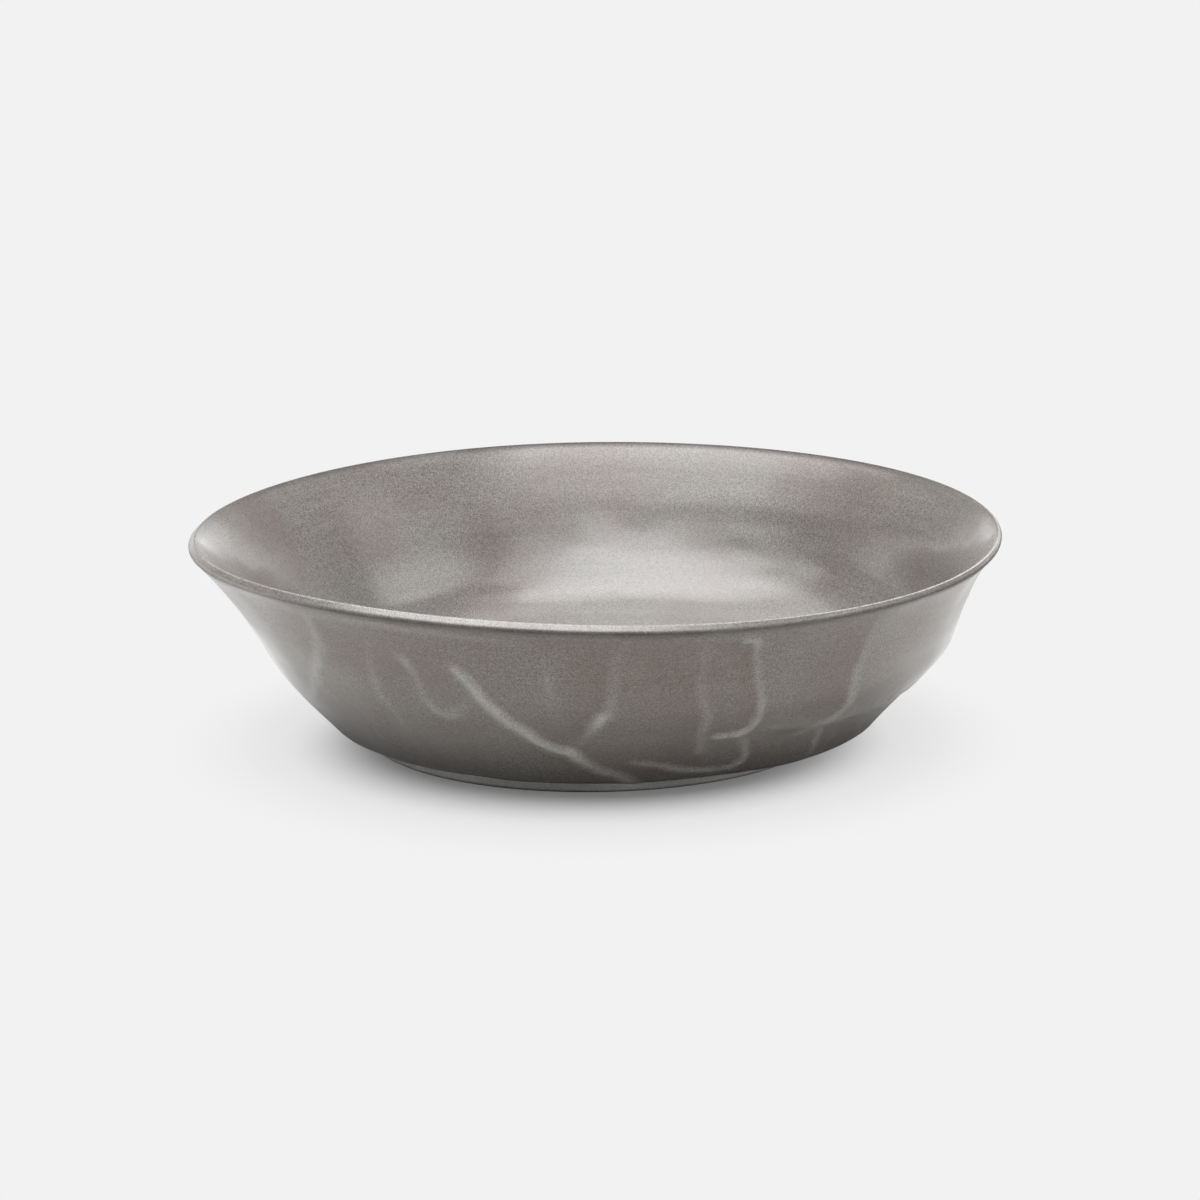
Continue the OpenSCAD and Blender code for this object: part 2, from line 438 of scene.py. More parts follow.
@dataclass
class BowlSection:
    """Half section of the bowl: underside, cone, shoulder, flare, lip and floor."""

    rim_radius: float
    rim_height: float
    foot_radius: float
    foot_height: float
    foot_width: float = 8.0 * MM
    recess: float = 1.0 * MM
    floor_thickness: float = 5.5 * MM
    lip_thickness: float = 3.7 * MM
    lip_slope: float = 45.0
    lip_round: float = 1.4 * MM
    lip_inner_round: float = 0.8 * MM
    base: Vector = field(default_factory=lambda: Vector((100.5, 6.9)) * MM)
    base_round: float = 6.0 * MM
    shoulder: Vector = field(default_factory=lambda: Vector((125.4, 34.0)) * MM)
    shoulder_slope: float = 66.0
    shoulder_round: float = 34.0 * MM
    flare_handle: float = 9.0 * MM
    lip_handle: float = 15.0 * MM
    wall_thickness: float = 6.0 * MM
    steep_height: float = 56.0 * MM
    steep_slope: float = 63.0
    steep_handle: float = 6.0 * MM
    inside_lip_slope: float = 42.0
    inside_lip_handle: float = 10.0 * MM
    basin_handle: float = 40.0 * MM
    floor_handle: float = 116.0 * MM
    curve_steps: int = 32
    outside_spacing: float = 1.35 * MM
    lip_spacing: float = 0.6 * MM
    lip_steps: int = 6
    lip_flat_ring: float = 0.75
    inside_spacing: float = 2.8 * MM
    floor_spacing: float = 12.0 * MM
    lip_fade: float = 3.0 * MM
    # The glaze pools under the outer edge of the lip, runs thin on its inner edge and pools below that;
    # painted shade darkens both pools, and a painted glint lightens the thin edge
    outer_edge: tuple[float, ...] = (-0.9, -1.0, -1.0, -0.7, -0.3, 0.0, 0.0)
    inner_thin_brim_and_glint: tuple[float, ...] = (0.3, 1.0, 1.0, 0.7, 0.2, 0.0, 0.0)
    inner_pool_and_shade: tuple[float, ...] = (0.0, 0.0, 0.0, 0.2, 0.6, 1.0, 1.0)
    outer_pool_and_shade: float = 0.6
    pool_and_shade_reach: float = 2.4 * MM
    # The potter's cut takes most off the outer edge of the lip
    outer_trim: tuple[float, ...] = (1.0, 1.0, 1.0, 1.0, 1.0, 1.0, 0.25)
    trim_reach: float = 20.0 * MM

    def __post_init__(self) -> None:
        """Works out the corners and curves that the lines share."""
        along = heading(self.lip_slope)
        across = inward(self.lip_slope)
        flat = self.lip_thickness - self.lip_inner_round
        step = self.lip_round - self.lip_inner_round
        self.lip_point = Vector((
            self.rim_radius - self.lip_round * (1 + across.x),
            self.rim_height - self.lip_inner_round - flat * across.y - step * along.y,
        ))
        self.lip_outer_centre = self.lip_point + self.lip_round * across
        self.lip_inner_centre = self.lip_point + flat * across + step * along
        self.foot_corner = Vector((self.foot_radius, self.foot_height))
        self.cone_slope = slope_between(self.base, self.shoulder)
        self.shoulder_centre = corner_centre(
            self.shoulder, self.cone_slope, self.shoulder_slope, self.shoulder_round
        )
        start = self.shoulder_centre - self.shoulder_round * inward(self.shoulder_slope)
        self.flare = (
            start,
            start + self.flare_handle * heading(self.shoulder_slope),
            self.lip_point - self.lip_handle * heading(self.lip_slope),
            self.lip_point,
        )
        self.wall = self.outside_line()

    def steps(self) -> list[float]:
        """Returns the fractions at which a curve is drawn, from 0 to 1."""
        return [i / self.curve_steps for i in range(self.curve_steps + 1)]

    def outside_line(self) -> list[Vector]:
        """Returns the line from the foot over the base edge, cone, shoulder and flare to the lip."""
        under_slope = slope_between(self.foot_corner, self.base)
        base_centre = corner_centre(self.base, under_slope, self.cone_slope, self.base_round)
        off_cone = self.cone_slope - 90
        line = [self.foot_corner.copy()]
        line += arc(base_centre, self.base_round, under_slope - 90, off_cone)
        line += arc(self.shoulder_centre, self.shoulder_round, off_cone, self.shoulder_slope - 90)
        line += [bezier(self.flare, t) for t in self.steps()[1:]]
        return evenly(line, self.outside_spacing)

    def lip_line(self) -> list[Vector]:
        """Returns the lip, cut square to the wall, its outer edge round and its inner edge crisper."""
        slope = self.lip_slope
        outer = arc(self.lip_outer_centre, self.lip_round, slope - 90, slope, self.lip_steps)
        inner = arc(self.lip_inner_centre, self.lip_inner_round, slope, slope + 90, self.lip_steps)
        return outer + [outer[-1].lerp(inner[0], self.lip_flat_ring)] + inner

    def inside_line(self) -> list[Vector]:
        """Returns the inside from the lip down to where it is steepest, and the basin to the middle."""
        lip_end = self.lip_line()[-1]
        level_wall = self.wall_thickness / math.sin(math.radians(self.steep_slope))
        steep = Vector((self.wall_radius(self.steep_height) - level_wall, self.steep_height))
        floor = Vector((0.0, self.foot_height + self.recess + self.floor_thickness))
        flare = (
            lip_end,
            lip_end - self.inside_lip_handle * heading(self.inside_lip_slope),
            steep + self.steep_handle * heading(self.steep_slope),
            steep,
        )
        basin = (
            steep,
            steep - self.basin_handle * heading(self.steep_slope),
            floor + Vector((self.floor_handle, 0.0)),
            floor,
        )
        line = [bezier(flare, t) for t in self.steps()]
        line += [bezier(basin, t) for t in self.steps()[1:]]
        return evenly(line, self.inside_spacing)

    def underside_line(self) -> list[Vector]:
        """Returns the underside from the middle of the recess to the foot ring's outer edge."""
        inner = self.foot_radius - self.foot_width
        ceiling = self.foot_height + self.recess
        line = [
            Vector((0.0, ceiling)),
            Vector((inner - self.recess, ceiling)),
            Vector((inner, self.foot_height)),
            self.foot_corner,
        ]
        return evenly(line, self.floor_spacing)

    def rings(self) -> list[Ring]:
        """Returns the rings of the whole skin, from the middle of the underside to the floor's middle."""
        rings = [Ring(p.x, p.y) for p in self.underside_line()]
        under_lip = [p for p in self.wall if (self.lip_point - p).length <= self.lip_fade]
        wall = self.wall[1:-len(under_lip)] + evenly(under_lip, self.lip_spacing)
        for point in wall:
            gap = (self.lip_point - point).length
            lip = nearness(gap, self.lip_fade)
            # The glaze pools just under the lip, with painted shade there
            edge = -self.outer_pool_and_shade * nearness(gap, self.pool_and_shade_reach)
            trim = nearness(gap, self.trim_reach)
            rings.append(Ring(point.x, point.y, outside=1.0 - lip, lip=lip, edge=edge, trim=trim))
        lip_points = self.lip_line()[1:]
        outer = len(self.outer_edge)
        for point, edge, trim in zip(lip_points[:outer], self.outer_edge, self.outer_trim):
            rings.append(Ring(point.x, point.y, lip=1.0, edge=edge, trim=trim))
        # The inner edge runs thin with a painted glint, and the glaze pools below it with painted shade
        for point, brim, pool in zip(lip_points[outer:], self.inner_thin_brim_and_glint, self.inner_pool_and_shade):
            rings.append(Ring(point.x, point.y, lip=1.0, brim=brim, pool=pool))
        inside = self.inside_line()
        for point in evenly(inside[:2], self.lip_spacing)[1:] + inside[2:]:
            gap = (inside[0] - point).length
            lip = nearness(gap, self.lip_fade)
            # Painted shade and pooling glaze just inside the lip
            pool = nearness(gap, self.pool_and_shade_reach)
            rings.append(Ring(max(point.x, 0.0), point.y, inside=1.0 - lip, lip=lip, pool=pool))
        return rings

    def wall_radius(self, height: float) -> float:
        """Returns the radius of the outer wall at a height."""
        for low, high in zip(self.wall, self.wall[1:]):
            if low.y <= height <= high.y:
                return low.x + (high.x - low.x) * (height - low.y) / (high.y - low.y)
        return self.lip_point.x

    def on_wall(self, angle: float, percent: float) -> tuple[Vector, Vector]:
        """Finds a point on the outer wall.

        Args:
            angle: Degrees round from the front, toward +X.
            percent: Percent of the way up from the foot to the lip.

        Returns:
            The point and the direction square off the wall there.
        """
        reach = 0.5 * MM
        height = self.foot_height + (self.lip_point.y - self.foot_height) * percent / 100
        radius = self.wall_radius(height)
        flare = (self.wall_radius(height + reach) - self.wall_radius(height - reach)) / (2 * reach)
        out = Vector((math.sin(math.radians(angle)), -math.cos(math.radians(angle)), 0.0))
        point = radius * out + Vector((0.0, 0.0, height))
        return point, (out - Vector((0.0, 0.0, flare))).normalized()


@dataclass(frozen=True)
class Ridge:
    """A soft ridge on the wall.

    Its path is a list of points: degrees round from the front, toward +X, percent of the way
    up from the foot to the lip, and how strong the ridge is there. Width and rise are in
    millimetres. Left and right say how far it fades to either side, seen from outside with
    the path going down, rust how brown the glaze is on its left, and reach how far that goes.
    """

    path: tuple[Triple, ...]
    width: float
    rise: float
    left: float = 1.0
    right: float = 1.0
    rust: float = 0.0
    reach: float = 8.0
    steps: int = 10

    def point(self, t: float) -> Vector:
        """Returns the point of the smooth curve through the path, from 0 to 1 along it."""
        spans = len(self.path) - 1
        i = min(int(t * spans), spans - 1)
        u = t * spans - i
        a = Vector(self.path[max(i - 1, 0)])
        b = Vector(self.path[i])
        c = Vector(self.path[i + 1])
        d = Vector(self.path[min(i + 2, spans)])
        curve = 2 * b + (c - a) * u + (2 * a - 5 * b + 4 * c - d) * u * u
        curve += (3 * b - a - 3 * c + d) * u ** 3
        return curve / 2

    def points(self) -> list[Vector]:
        """Returns close points along the whole path."""
        last = self.steps * (len(self.path) - 1)
        return [self.point(i / last) for i in range(last + 1)]


# Ridges that meet are in different layers, so that each keeps its own width where they join
LONG_RIDGES = (
    Ridge(
        ((-43.5, 96, 0.2), (-44, 91, 0.3), (-45.5, 77, 0.4), (-49, 65, 0.45), (-53, 52, 0.4), (-58, 38, 0.3),
         (-66, 24, 0.1)),
        7, 1.2, 1.6, 0.8,
    ),
    Ridge(
        ((-31, 79, 0.3), (-30, 75, 0.9), (-29.5, 68, 0.4), (-30, 58, 0.3), (-28.5, 49, 0.45), (-26, 47, 0.4),
         (-22.5, 53, 0.1)),
        5, 0.9,
    ),
    Ridge(
        ((3.5, 96, 0.1), (2, 79, 0.2), (1.2, 68, 0.25), (0.7, 60, 0.3), (0.1, 52, 0.4), (-1.6, 47, 1.1),
         (-3.2, 39, 0.4), (-4.5, 32, 0.1)),
        5, 1.0, rust=0.7, reach=24,
    ),
    # Strengths over 1 at its bend raise it and paint a highlight there
    Ridge(
        ((20.5, 93, 0.8), (22.3, 92, 0.9), (22.6, 84, 0.5), (23, 74, 0.45), (23.4, 63, 0.5), (23.9, 55, 0.7),
         (24, 46, 0.8), (24, 38, 1.3), (23.4, 34, 1.4), (21.5, 33, 1.1), (18.5, 33, 1)),
        3.2, 1.5, 0.8, 1.4, 0.8, 12,
    ),
    Ridge(((41, 28, 0.4), (43, 17, 0.35), (45, 8, 0.2)), 4, 0.8),
    Ridge(((101, 93, 0.2), (103, 75, 0.6), (100, 60, 0.2)), 5.5, 1.2, 1.4, 0.8),
    Ridge(
        ((130, 95, 0.3), (133, 74, 0.6), (130, 54, 0.8), (122, 40, 0.8), (111, 34, 0.4)),
        5, 1.2, 0.8, 1.6, 0.6,
    ),
    Ridge(
        ((163, 92, 0.6), (160, 70, 0.8), (163, 48, 1), (156, 30, 0.9), (146, 20, 0.5)),
        5.5, 1.4, 1.4, 0.9,
    ),
    Ridge(
        ((196, 95, 0.3), (199, 72, 0.7), (195, 52, 0.7), (198, 34, 0.8), (194, 16, 0.3)),
        5, 1.2, 0.8, 1.8, 0.7,
    ),
    Ridge(
        ((236, 94, 0.5), (239, 76, 0.8), (236, 56, 0.9), (243, 34, 0.9), (252, 22, 0.4)),
        5.5, 1.4, 1.3, 0.9,
    ),
)
BRANCH_RIDGES = (
    Ridge(
        ((-21.7, 74, 0.9), (-20, 62.5, 0.9), (-17.5, 49, 0.9), (-12.5, 36, 0.9), (-8.5, 28, 0.8),
         (-6.5, 27.5, 0.8), (-4.5, 22, 0.7), (-2, 14.5, 0.45), (2, 10, 0.4), (5.5, 4, 0.3)),
        6.4, 1.5, 1.3, 0.9,
    ),
    Ridge(
        ((23.4, 31, 0.4), (26, 22, 0.45), (27, 14, 0.6), (26, 10, 0.6), (24, 8, 0.6), (20.5, 8, 0.6),
         (16.5, 9, 0.6), (13, 11.5, 0.6), (9, 15, 0.6), (5, 17, 0.3)),
        3.6, 1.0,
    ),
    Ridge(
        ((42.5, 81, 0.15), (42.5, 72, 0.2), (41.5, 61, 0.25), (41.5, 53, 0.3), (41.5, 45, 0.4),
         (42, 39, 0.6), (41.5, 33, 0.6), (39.5, 32, 0.6), (37, 29.5, 0.4)),
        4.5, 1.3, 0.7, 2.4, 1, 34,
    ),
    Ridge(((113, 86, 0.6), (111, 66, 1), (104, 46, 1), (98, 30, 0.8), (101, 12, 0.4)), 5.5, 1.4, 0.9, 1.3),
    Ridge(((147, 83, 0.2), (146, 70, 0.4), (146, 58, 0.1)), 5, 0.8),
    Ridge(((178, 86, 0.3), (181, 64, 0.5), (176, 44, 0.6), (168, 36, 0.3)), 5, 1.0),
    Ridge(((216, 88, 0.3), (213, 68, 0.6), (219, 50, 0.6), (230, 40, 0.2)), 5, 1.0),
    Ridge(((256, 82, 0.1), (258, 62, 0.4), (262, 46, 0.2)), 5, 0.8),
)
FAINT_RIDGES = (
    Ridge(((-48, 94.5, 0.3), (-34, 95.5, 0.6), (-24.5, 95, 0.6), (-16, 94, 0.5), (-10.5, 93, 0.1)), 3, 0.3),
    # A painted highlight on that ridge's bend: wide and pale, with little rise
    Ridge(((23.9, 44, 0.3), (24, 38, 1.3), (23.2, 34, 1.5), (21, 33, 0.9), (19, 33, 0.6)), 4.5, 0.2),
    Ridge(((-35, 85, 0.1), (-37.5, 67, 0.25), (-38.5, 52, 0.25), (-37, 42, 0.2), (-36, 34, 0.1)), 5, 0.8),
    Ridge(((-7.5, 84, 0.05), (-8, 71, 0.25), (-9, 56, 0.05)), 5, 0.8),
    Ridge(
        ((15, 95, 0.05), (14.5, 67, 0.2), (15, 53, 0.25), (15.5, 44, 0.35), (16, 33, 0.25), (17, 22, 0.3)),
        5, 0.8, rust=0.6, reach=26,
    ),
    Ridge(
        ((88, 31, 0.1), (76, 30, 0.2), (65, 29.5, 0.22), (55, 29.5, 0.22), (48, 29, 0.22), (42, 29, 0.22),
         (36, 31, 0.18), (30, 33, 0.14), (25.5, 34, 0.05)),
        5, 5, 4, 1,
    ),
)


# Finishes


@dataclass(frozen=True)
class FiredGrain:
    """The fired grain that glaze and bare clay share: specks, clouds and a fine relief."""

    speck_scale: float = 2700.0
    speck_detail: float = 1.0
    coarse_scale: float = 0.37
    coarse_share: float = 0.25
    cloud_scale: float = 22.0
    cloud_detail: float = 3.0
    cloud_roughness: float = 0.55
    peel_scale: float = 620.0
    fine_share: float = 0.2

    def build(self) -> NodeTree:
        """Builds the shader group that gives the specks, clouds and relief at a place."""
        scales = {
            "Speck Scale": self.speck_scale,
            "Cloud Scale": self.cloud_scale,
            "Peel Scale": self.peel_scale,
        }
        board, given = open_tree(
            "fired_grain",
            [("Place", "NodeSocketVector"), *size_sockets(scales)],
            [(name, "NodeSocketFloat") for name in ("Specks", "Clouds", "Relief")],
            "ShaderNodeTree",
        )
        place, speck_scale, cloud_scale, peel_scale = given.values()
        fine = board.noise(place, speck_scale, self.speck_detail).outputs[0]
        coarse = board.noise(place, board.times(speck_scale, self.coarse_scale)).outputs[0]
        specks = board.mix(fine, coarse, self.coarse_share)
        clouds = board.noise(place, cloud_scale, self.cloud_detail, self.cloud_roughness).outputs[0]
        peel = board.noise(place, peel_scale).outputs[0]
        relief = board.mix(peel, fine, self.fine_share)
        return close_tree(board, {"Specks": specks, "Clouds": clouds, "Relief": relief})


@dataclass(frozen=True)
class GreyGlaze:
    """Satin grey glaze: cloudy and finely specked, paler where it runs thin on edges and ridges, with
    painted glints on the rim and the strongest ridges and painted shade under the lip, inside the far rim
    and toward the base.
    """

    green: Colour = (0.192, 0.179, 0.163)
    plum: Colour = (0.182, 0.157, 0.143)
    thin: Colour = (0.370, 0.366, 0.330)
    brim: Colour = (0.560, 0.555, 0.520)
    rust: Colour = (0.145, 0.115, 0.100)
    outside_tone: Colour = (1.02, 0.975, 0.915)
    cloud_levels: Point = (0.38, 0.62)
    # Share of its colour that the glaze keeps at the base edge, low on the cone and at its top: painted
    # shade toward the base, with glaze that pools there
    pooled_and_shaded: Triple = (0.03, 0.31, 0.69)
    pool_and_shade_heights: tuple[float, float, float, float] = (5.6 * MM, 9.0 * MM, 29.0 * MM, 62.0 * MM)
    # The lip is dark and rougher where the glaze pools, darkened further by painted shade, and mottled all
    # round
    edge_pooled_and_shaded: float = 0.45
    edge_roughness: float = 0.5
    lip_mottle: float = 0.16
    lip_mottle_scale: float = 60.0
    lip_mottle_detail: float = 4.0
    lip_tone: float = -0.06
    # Over a ridge the specks calm down, and the strongest ridges take the pale glint colour, a painted
    # highlight
    ridge_calm: float = -0.5
    ridge_highlight: Point = (0.95, 1.45)
    # The gloss coat is full low inside and weaker above, comes back near the rim and is dry at the base
    coat_outside: Point = (0.12, 1.0)
    coat_outside_heights: Point = (8.0 * MM, 34.0 * MM)
    lip_dull: Point = (100.0 * MM, 145.0 * MM)
    roughness: Point = (0.22, 0.30)
    roughness_levels: Point = (0.3, 0.7)
    coat_roughness: float = 0.15
    coat_low: Point = (0.20, 0.50)
    coat_fade: Point = (42.0 * MM, 57.0 * MM)
    coat_lean: float = -0.12
    coat_return: Point = (66.0 * MM, 76.0 * MM)
    coat_rim: float = 0.65
    coat_ior: float = 1.75
    gloss: float = 0.5
    speck_strength: float = 0.50
    speck_levels: Point = (0.32, 0.68)
    streak_strength: float = 0.06
    streak_scale: Triple = (30.0, 30.0, 500.0)
    relief_depth: float = 0.02 * MM

    def tint(self, board: NodeBoard, place: Value, fired: Node) -> NodeSocket:
        """Mixes the colour of the glaze.

        Args:
            board: The material's nodes.
            place: The point on the bowl.
            fired: The fired grain at that point.

        Returns:
            The colour over the surface.
        """
        rust, ridge = board.painted(Mark.RUST, Mark.RIDGE)
        lip, outside, edge = board.painted(Mark.LIP, Mark.OUTSIDE, Mark.EDGE)
        height = board.split(place)[2]
        cloud = board.ramp(fired.outputs["Clouds"], *self.cloud_levels)
        colour = board.blend(cloud, rgba(self.green), rgba(self.plum))
        colour = board.blend(rust, colour, rgba(self.rust))
        worn = board.vector("MULTIPLY", colour, self.outside_tone)
        # Painted shade: the outside darkens toward the base, where the glaze also pools
        base, low, high = self.pooled_and_shaded
        bottom, edge_top, cone_top, wall_top = self.pool_and_shade_heights
        pool = board.times(
            board.ramp(height, bottom, edge_top, base, 1.0),
            board.add(
                board.ramp(height, bottom, cone_top, low, high),
                board.ramp(height, cone_top, wall_top, 0.0, 1.0 - high),
            ),
        )
        colour = board.blend(outside, colour, board.scaled(worn, pool))
        colour = board.blend(ridge, colour, rgba(self.thin))
        # Painted highlight on the strongest ridges
        colour = board.blend(board.ramp(ridge, *self.ridge_highlight), colour, rgba(self.brim))
        # Painted glint, with thin glaze, where the rim mark is above zero
        colour = board.blend(board.math("MAXIMUM", edge, 0.0), colour, rgba(self.brim))
        # Painted shade, with pooling glaze, where the rim mark is below zero
        dark = board.math("MULTIPLY_ADD", board.math("MINIMUM", edge, 0.0), self.edge_pooled_and_shaded, 1.0)
        uneven = board.swing(place, self.lip_mottle_scale, self.lip_mottle_detail)
        mottle = board.times(lip, board.math("MULTIPLY_ADD", uneven, self.lip_mottle, self.lip_tone))
        drawn = board.vector("MULTIPLY", place, self.streak_scale)
        streak = board.math("MULTIPLY_ADD", board.swing(drawn, 1.0), self.streak_strength, 1.0)
        speck = board.ramp(fired.outputs["Specks"], *self.speck_levels, -1.0, 1.0)
        speck = board.times(speck, board.math("MULTIPLY_ADD", ridge, self.ridge_calm, 1.0))
        grain = board.math("MULTIPLY_ADD", speck, self.speck_strength, 1.0)
        return board.scaled(colour, board.times(dark, streak, board.add(grain, mottle)))

    def build(self, grain: NodeTree) -> Material:
        """Builds the material.

        Args:
            grain: The shared fired grain.

        Returns:
            The glaze.
        """
        material, board, shader, place = open_material("grey_glaze_finish")
        fired = board.node("ShaderNodeGroup", {"Place": place}, node_tree=grain)
        board.feed(shader.inputs["Base Color"], self.tint(board, place, fired))
        lip, edge, outside = board.painted(Mark.LIP, Mark.EDGE, Mark.OUTSIDE)
        worn = board.math("MAXIMUM", board.times(edge, -1.0), 0.0)
        satin = board.ramp(fired.outputs["Clouds"], *self.roughness_levels, *self.roughness)
        board.feed(shader.inputs["Roughness"], board.math("MULTIPLY_ADD", worn, self.edge_roughness, satin))
        shader.inputs["Specular IOR Level"].default_value = self.gloss
        shader.inputs["Coat Roughness"].default_value = self.coat_roughness
        shader.inputs["Coat IOR"].default_value = self.coat_ior
        x, _, height = board.split(place)
        dull = board.times(lip, board.ramp(board.math("ABSOLUTE", x), *self.lip_dull))
        low = board.ramp(outside, 0.0, 1.0, *self.coat_low)
        lean = board.times(board.math("MINIMUM", x, 0.0), board.rest(outside), self.coat_lean)
        coat = board.math(
            "MAXIMUM",
            board.ramp(board.add(height, lean), *self.coat_fade, 1.0, low),
            board.ramp(height, *self.coat_return, low, self.coat_rim),
        )
        coat = board.math("MAXIMUM", coat, lip)
        dry = board.ramp(height, *self.coat_outside_heights, *self.coat_outside)
        coat = board.times(coat, board.ramp(outside, 0.0, 1.0, 1.0, dry))
        board.feed(shader.inputs["Coat Weight"], board.times(coat, board.rest(worn), board.rest(dull)))
        relief = {
            "Strength": board.rest(lip),
            "Distance": self.relief_depth,
            "Height": fired.outputs["Relief"],
        }
        bump = board.node("ShaderNodeBump", relief)
        board.feed(shader.inputs["Normal"], bump.outputs[0])
        return material


@dataclass(frozen=True)
class BareClay:
    """Bare fired clay: dry, matte and sandy, with a painted highlight along its top under the body and a
    painted contact shadow where it stands.
    """

    dark: Colour = (0.33, 0.33, 0.32)
    pale: Colour = (0.47, 0.47, 0.46)
    speck_share: float = 0.5
    tone_levels: Point = (0.35, 0.65)
    contact_shade: float = 0.25
    contact_shade_height: float = 1.5 * MM
    top_highlight: float = 1.5
    top_highlight_heights: Point = (2.8 * MM, 4.2 * MM)
    roughness: Point = (0.72, 0.92)
    roughness_levels: Point = (0.3, 0.7)
    relief_depth: float = 0.12 * MM
    speck_scale: float = 1300.0

    def build(self, grain: NodeTree) -> Material:
        """Builds the material.

        Args:
            grain: The shared fired grain.

        Returns:
            The bare clay.
        """
        material, board, shader, place = open_material("bare_clay_finish")
        inputs = {"Place": place, "Speck Scale": self.speck_scale}
        specks, clouds, relief = board.node("ShaderNodeGroup", inputs, node_tree=grain).outputs
        tone = board.mix(clouds, specks, self.speck_share)
        colour = board.blend(board.ramp(tone, *self.tone_levels), rgba(self.dark), rgba(self.pale))
        height = board.split(place)[2]
        # Painted contact shadow at the bottom and painted highlight along the top
        shade = board.times(
            board.ramp(height, 0.0, self.contact_shade_height, self.contact_shade, 1.0),
            board.ramp(height, *self.top_highlight_heights, 1.0, self.top_highlight),
        )
        board.feed(shader.inputs["Base Color"], board.scaled(colour, shade))
        dry = board.ramp(specks, *self.roughness_levels, *self.roughness)
        board.feed(shader.inputs["Roughness"], dry)
        bump = board.node("ShaderNodeBump", {"Distance": self.relief_depth, "Height": relief})
        board.feed(shader.inputs["Normal"], bump.outputs[0])
        return material


# Geometry


def build_turning_group() -> NodeTree:
    """Builds the group that turns a half section into a closed skin.

    Returns:
        A geometry group that takes the section's points and gives the skin with its marks.
    """
    board, given = open_tree("turned_skin", [*TURNED_INPUTS, ("Seam", "NodeSocketFloat", 0.001 * MM)])
    section = board.node("GeometryNodeObjectInfo", {"Object": given["Section"]}).outputs["Geometry"]
    columns = board.add(given["Segments"], 1.0)
    inputs = {"Size X": 1.0, "Size Y": 1.0, "Vertices X": given["Rings"], "Vertices Y": columns}
    skin = board.node("GeometryNodeMeshGrid", inputs).outputs["Mesh"]
    along, around, _ = board.split(board.place())
    ring = board.math("ROUND", board.times(board.add(along, 0.5), board.add(given["Rings"], -1.0)))
    turn = board.times(board.add(around, 0.5), -math.tau)
    radius, _, height = board.split(board.sample(section, board.place(), ring, "FLOAT_VECTOR"))
    for name in SECTION_MARKS:
        skin = board.store(skin, name, board.sample(section, board.mark(name), ring))
    x = board.times(radius, board.math("SINE", turn))
    y = board.times(radius, board.math("COSINE", turn), -1.0)
    skin = board.shape("SetPosition", skin, Position=board.join(x, y, height))
    return close_tree(board, {"Geometry": board.shape("MergeByDistance", skin, Distance=given["Seam"])})


def modifier_inputs(modifier: Modifier, values: dict[str, Any]) -> None:
    """Sets a geometry modifier's inputs by the identifiers of its sockets.

    Args:
        modifier: The modifier, with its tree in place.
        values: The values by the sockets' names.
    """
    for item in modifier.node_group.interface.items_tree:
        if item.item_type == "SOCKET" and item.in_out == "INPUT" and item.name in values:
            modifier[item.identifier] = values[item.name]


def helper_mesh(
    name: str, points: Sequence[Vector], edges: Sequence[tuple], marks: dict[Mark, list]
) -> Object:
    """Makes an object of points and edges for a node tree to read.

    Args:
        name: Name of the object.
        points: Its points.
        edges: Pairs of point numbers.
        marks: Values to keep on the points, by attribute.

    Returns:
        The object, which is removed once it has been read.
    """
    mesh = bpy.data.meshes.new(name)
    mesh.from_pydata([tuple(p) for p in points], edges, [])
    for mark, values in marks.items():
        if isinstance(values[0], Vector):
            layer = mesh.attributes.new(mark.value, "FLOAT_VECTOR", "POINT")
            layer.data.foreach_set("vector", [number for vector in values for number in vector])
        else:
            mesh.attributes.new(mark.value, "FLOAT", "POINT").data.foreach_set("value", values)
    return add_object(name, mesh)


def section_helper(name: str, rings: Sequence[Ring]) -> Object:
    """Makes the helper that holds a half section's points and marks."""
    points = [Vector((ring.radius, 0.0, ring.height)) for ring in rings]
    marks = {mark: [getattr(ring, mark.value) for ring in rings] for mark in SECTION_MARKS}
    edges = [(i, i + 1) for i in range(len(points) - 1)]
    return helper_mesh(name, points, edges, marks)


def grow(
    name: str, tree: NodeTree, values: dict[str, Any], helpers: Iterable[Object]
) -> Object:
    """Runs a geometry tree once and keeps its result as a plain mesh.

    Args:
        name: Name of the piece.
        tree: The geometry tree.
        values: Its inputs by name.
        helpers: Objects that the tree reads, removed afterwards.

    Returns:
        The piece, at the origin and with no modifier.
    """
    piece = add_object(name, bpy.data.meshes.new(name))
    modifier = piece.modifiers.new("shape", "NODES")
    modifier.node_group = tree
    modifier_inputs(modifier, values)
    depsgraph = bpy.context.evaluated_depsgraph_get()
    evaluated = piece.evaluated_get(depsgraph)
    mesh = bpy.data.meshes.new_from_object(evaluated, preserve_all_data_layers=True, depsgraph=depsgraph)
    mesh.name = name
    piece.modifiers.clear()
    piece.data = mesh
    for helper in helpers:
        data = helper.data
        bpy.data.objects.remove(helper)
        bpy.data.meshes.remove(data)
    return piece


